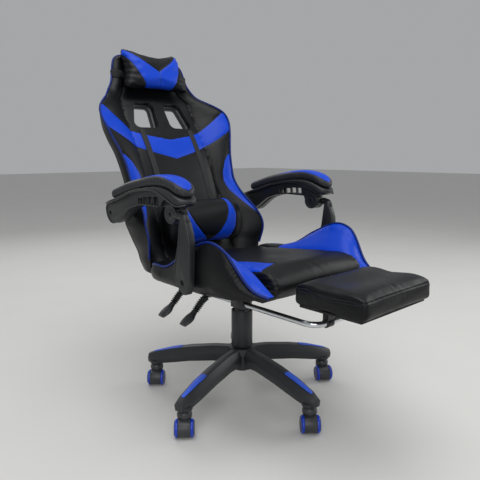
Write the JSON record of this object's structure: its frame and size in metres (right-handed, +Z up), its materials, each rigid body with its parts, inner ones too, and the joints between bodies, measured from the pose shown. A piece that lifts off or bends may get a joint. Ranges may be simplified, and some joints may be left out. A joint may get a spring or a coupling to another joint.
{
  "type": "reclining gaming chair",
  "caption": "High-backed reclining swivel chair on a five-arm base, with linked armrests, head and lumbar pillows and a flip-over footrest.",
  "frame": {"origin": "on the floor, under the middle of the chair's outline in X and Y, with the footrest out and the backrest as made", "axes": "+Z up; the seated person faces -Y; +X is the seated person's left"},
  "size_m": [0.6798, 1.173, 1.182],
  "materials": {
    "black_nylon": "satin",
    "blue_inlay": "matte",
    "wheel_plastic": "gloss",
    "chrome": "polished",
    "black_steel": "satin",
    "plywood": "matte",
    "armrest_pad": "satin",
    "black_leatherette": "satin",
    "blue_leatherette": "satin"
  },
  "bodies": {
    "base": {"base_star": "black_nylon", "gas_cylinder": "black_steel", "lift_cover_lower": "black_nylon", "base_inlay_1": "blue_inlay", "base_inlay_2": "blue_inlay", "base_inlay_3": "blue_inlay", "base_inlay_4": "blue_inlay", "base_inlay_5": "blue_inlay"},
    "lift": {"gas_piston": "chrome", "lift_cover_upper": "black_nylon"},
    "seat": {"seat_mechanism": "black_steel", "seat_pan": "plywood", "seat_cushion": "black_leatherette", "recline_shaft": "black_steel", "footrest_guides": "black_steel", "seat_bolster_left": "black_leatherette", "seat_bolster_right": "black_leatherette", "recline_bracket_left": "black_steel", "recline_bracket_right": "black_steel", "armrest_bolt_left": "black_steel", "armrest_bolt_right": "black_steel"},
    "back": {"back_shell": "black_leatherette", "head_pillow": "blue_leatherette", "head_strap": "black_leatherette", "lumbar_pillow": "black_leatherette", "window_bezel_left": "black_nylon", "window_bezel_right": "black_nylon", "back_hinge_lug_left": "black_steel", "back_hinge_lug_right": "black_steel"},
    "height_lever": {"height_lever_rod": "chrome", "height_lever_grip": "black_nylon"},
    "recline_lever": {"recline_lever_rod": "chrome", "recline_lever_grip": "black_nylon"},
    "footrest_slider": {"footrest_frame": "chrome"},
    "footrest_flap": {"footrest_bracket": "black_steel", "footrest_board": "plywood", "footrest_pad": "black_leatherette"},
    "post_left": {"armrest_post_left": "black_nylon", "armrest_pivot_left": "black_steel"},
    "arm_left": {"armrest_beam_left": "black_nylon", "armrest_pad_left": "armrest_pad"},
    "post_right": {"armrest_post_right": "black_nylon", "armrest_pivot_right": "black_steel"},
    "arm_right": {"armrest_beam_right": "black_nylon", "armrest_pad_right": "armrest_pad"},
    "caster_1": {"caster_stem_1": "chrome", "caster_hood_1": "black_nylon"},
    "wheels_1": {"caster_wheels_1": "wheel_plastic"},
    "caster_2": {"caster_stem_2": "chrome", "caster_hood_2": "black_nylon"},
    "wheels_2": {"caster_wheels_2": "wheel_plastic"},
    "caster_3": {"caster_stem_3": "chrome", "caster_hood_3": "black_nylon"},
    "wheels_3": {"caster_wheels_3": "wheel_plastic"},
    "caster_4": {"caster_stem_4": "chrome", "caster_hood_4": "black_nylon"},
    "wheels_4": {"caster_wheels_4": "wheel_plastic"},
    "caster_5": {"caster_stem_5": "chrome", "caster_hood_5": "black_nylon"},
    "wheels_5": {"caster_wheels_5": "wheel_plastic"}
  },
  "joints": [
    {"name": "seat_height", "type": "slide", "parent": "base", "child": "lift", "axis": [0, 0, 1], "range_m": [0, 0.08]},
    {"name": "seat_swivel", "type": "hinge", "parent": "lift", "child": "seat", "pos_m": [0.00689, -0.0145, 0.3], "axis": [0, 0, 1], "continuous": true},
    {"name": "back_recline", "type": "hinge", "parent": "seat", "child": "back", "pos_m": [0.00689, 0.1455, 0.435], "axis": [-1, 0, 0], "range_deg": [-28, 17]},
    {"name": "height_lever_lift", "type": "hinge", "parent": "seat", "child": "height_lever", "pos_m": [-0.09311, -0.0755, 0.384], "axis": [0, 1, 0], "range_deg": [0, 5], "stiffness_Nm_per_rad": 3, "springref_deg": -2.86},
    {"name": "recline_lever_lift", "type": "hinge", "parent": "seat", "child": "recline_lever", "pos_m": [-0.09311, 0.0335, 0.384], "axis": [0, 1, 0], "range_deg": [0, 5], "stiffness_Nm_per_rad": 3, "springref_deg": -2.86},
    {"name": "footrest_slide", "type": "slide", "parent": "seat", "child": "footrest_slider", "axis": [0, 1, 0], "range_m": [0, 0.13]},
    {"name": "footrest_flip", "type": "hinge", "parent": "footrest_slider", "child": "footrest_flap", "pos_m": [0.00689, -0.4265, 0.366], "axis": [1, 0, 0], "range_deg": [0, 180]},
    {"name": "post_left_tilt", "type": "hinge", "parent": "seat", "child": "post_left", "pos_m": [0.31189, -0.1145, 0.455], "axis": [-1, 0, 0], "range_deg": [-30, 19]},
    {"name": "arm_left_tilt", "type": "hinge", "parent": "post_left", "child": "arm_left", "pos_m": [0.30189, -0.0685, 0.638], "axis": [-1, 0, 0], "range_deg": [-16, 25]},
    {"name": "post_right_tilt", "type": "hinge", "parent": "seat", "child": "post_right", "pos_m": [-0.29811, -0.1145, 0.455], "axis": [-1, 0, 0], "range_deg": [-30, 19]},
    {"name": "arm_right_tilt", "type": "hinge", "parent": "post_right", "child": "arm_right", "pos_m": [-0.28811, -0.0685, 0.638], "axis": [-1, 0, 0], "range_deg": [-16, 25]},
    {"name": "caster_1_swivel", "type": "hinge", "parent": "base", "child": "caster_1", "pos_m": [0.20219, 0.22624, 0.073], "axis": [0, 0, 1], "continuous": true},
    {"name": "wheels_1_roll", "type": "hinge", "parent": "caster_1", "child": "wheels_1", "pos_m": [0.18588, 0.21864, 0.026], "axis": [0.4226, -0.9063, 0], "continuous": true},
    {"name": "caster_2_swivel", "type": "hinge", "parent": "base", "child": "caster_2", "pos_m": [-0.16172, 0.24564, 0.073], "axis": [0, 0, 1], "continuous": true},
    {"name": "wheels_2_roll", "type": "hinge", "parent": "caster_2", "child": "wheels_2", "pos_m": [-0.17423, 0.23269, 0.026], "axis": [0.7193, -0.6947, 0], "continuous": true},
    {"name": "caster_3_swivel", "type": "hinge", "parent": "base", "child": "caster_3", "pos_m": [-0.29262, -0.09447, 0.073], "axis": [0, 0, 1], "continuous": true},
    {"name": "wheels_3_roll", "type": "hinge", "parent": "caster_3", "child": "wheels_3", "pos_m": [-0.30419, -0.10826, 0.026], "axis": [0.766, -0.6428, 0], "continuous": true},
    {"name": "caster_4_swivel", "type": "hinge", "parent": "base", "child": "caster_4", "pos_m": [-0.0096, -0.32406, 0.073], "axis": [0, 0, 1], "continuous": true},
    {"name": "wheels_4_roll", "type": "hinge", "parent": "caster_4", "child": "wheels_4", "pos_m": [-0.02165, -0.33744, 0.026], "axis": [0.7431, -0.6691, 0], "continuous": true},
    {"name": "caster_5_swivel", "type": "hinge", "parent": "base", "child": "caster_5", "pos_m": [0.2962, -0.12585, 0.073], "axis": [0, 0, 1], "continuous": true},
    {"name": "wheels_5_roll", "type": "hinge", "parent": "caster_5", "child": "wheels_5", "pos_m": [0.28614, -0.14077, 0.026], "axis": [0.829, -0.5592, 0], "continuous": true}
  ],
  "couplings": [
    {"joint": "footrest_flip", "follows": "footrest_slide", "rad_per_m": 24.16},
    {"joint": "post_left_tilt", "follows": "back_recline", "ratio": 1.04},
    {"joint": "arm_left_tilt", "follows": "back_recline", "ratio": -0.87},
    {"joint": "post_right_tilt", "follows": "back_recline", "ratio": 1.04},
    {"joint": "arm_right_tilt", "follows": "back_recline", "ratio": -0.87}
  ]
}
